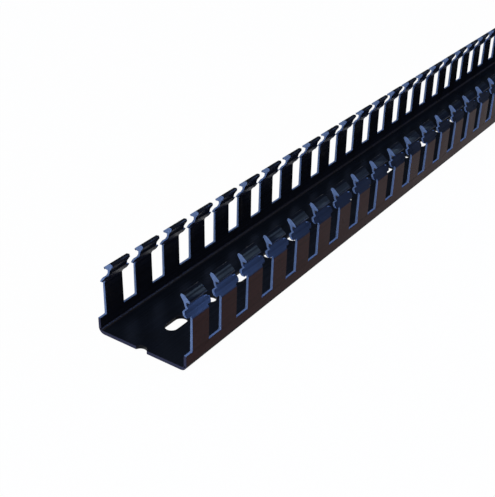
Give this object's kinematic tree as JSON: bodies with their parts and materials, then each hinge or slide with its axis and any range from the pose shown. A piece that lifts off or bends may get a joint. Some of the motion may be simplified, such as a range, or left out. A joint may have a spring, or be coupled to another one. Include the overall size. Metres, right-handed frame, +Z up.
{
  "type": "slotted wire duct",
  "caption": "Open-topped U channel for wires: a flat base with fixing slots and holes, and two side walls cut into fingers with leaning heads and barbed tops.",
  "frame": {"origin": "middle of the length and width, on the underside of the base", "axes": "+X along the duct, +Y across it, +Z up out of the open top"},
  "size_m": [1, 0.0484, 0.0346],
  "materials": {
    "black_plastic": "satin"
  },
  "bodies": {
    "root": {"duct_channel": "black_plastic"}
  },
  "joints": []
}
